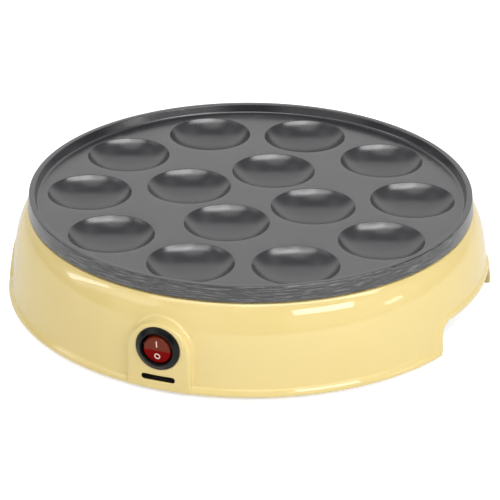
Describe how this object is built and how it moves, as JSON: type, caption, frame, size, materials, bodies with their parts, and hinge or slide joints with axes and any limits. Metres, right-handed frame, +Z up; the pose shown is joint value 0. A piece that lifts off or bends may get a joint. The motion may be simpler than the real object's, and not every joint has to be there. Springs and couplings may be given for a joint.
{
  "type": "mini pancake maker",
  "caption": "Round electric table-top maker for mini pancakes: a dimpled, rimmed cooking plate on a flared glossy body with finger grips and a lit rocker switch.",
  "frame": {"origin": "on the table under the middle of the plate, at the height of the feet's undersides", "axes": "+Z up, the front with the switch towards -Y, +X to the right for someone who faces the switch"},
  "size_m": [0.2566, 0.263, 0.0577],
  "materials": {
    "plate_coating": "die-cast aluminium with a dark grey satin non-stick coat",
    "butter_body": "glossy moulded plastic, pale butter yellow",
    "dark_cover": "fine-grained moulded plastic, near black",
    "foot_rubber": "grey moulded rubber",
    "steel": "zinc-plated steel",
    "shield_metal": "bright rolled sheet",
    "heater_sheath": "dark annealed sheath",
    "ceramic": "off-white ceramic",
    "phenolic": "brown moulded phenolic",
    "brass": "stamped brass",
    "black_switch": "black plastic, satin gloss",
    "red_lens": "red translucent plastic",
    "lamp_glass": "clear glass",
    "white_plastic": "off-white moulded plastic",
    "brown_wire": "brown insulation",
    "blue_wire": "blue insulation",
    "earth_wire": "green and yellow insulation"
  },
  "bodies": {
    "base": {"cooking_plate": "plate_coating", "base_housing": "butter_body", "bottom_cover": "dark_cover", "rubber_feet": "foot_rubber", "cover_screws": "steel", "plate_screws": "steel", "heating_element": "heater_sheath", "element_insulators": "ceramic", "element_pins": "steel", "element_clamps": "steel", "heat_shield": "shield_metal", "shield_screws": "steel", "thermostat_cap": "shield_metal", "thermostat_body": "phenolic", "thermostat_terminals": "brass", "thermostat_screws": "steel", "thermal_fuse": "ceramic", "fuse_clip": "steel", "fuse_screw": "steel", "switch_body": "black_switch", "switch_terminals": "brass", "cord_gland": "black_switch", "gland_nut": "black_switch", "cord_clamp": "white_plastic", "clamp_screws": "steel", "terminal_block": "white_plastic", "terminal_screws": "brass", "live_wires": "brown_wire", "neutral_wires": "blue_wire", "earth_wire": "earth_wire", "earth_lug": "brass", "earth_screw": "steel"},
    "rocker": {"rocker": "red_lens", "rocker_pin": "steel", "plunger": "white_plastic", "plunger_spring": "steel", "neon_lamp": "lamp_glass"},
    "contact_blade": {"contact_blade": "brass"}
  },
  "joints": [
    {"name": "rocker_tilt", "type": "hinge", "parent": "base", "child": "rocker", "pos_m": [0, -0.12611, 0.0257], "axis": [-1, 0, 0], "range_deg": [0, 22]},
    {"name": "blade_tilt", "type": "hinge", "parent": "base", "child": "contact_blade", "pos_m": [0, -0.11651, 0.0257], "axis": [-1, 0, 0], "range_deg": [-16, 0]}
  ],
  "couplings": [
    {"joint": "blade_tilt", "follows": "rocker_tilt", "ratio": -0.72727}
  ]
}
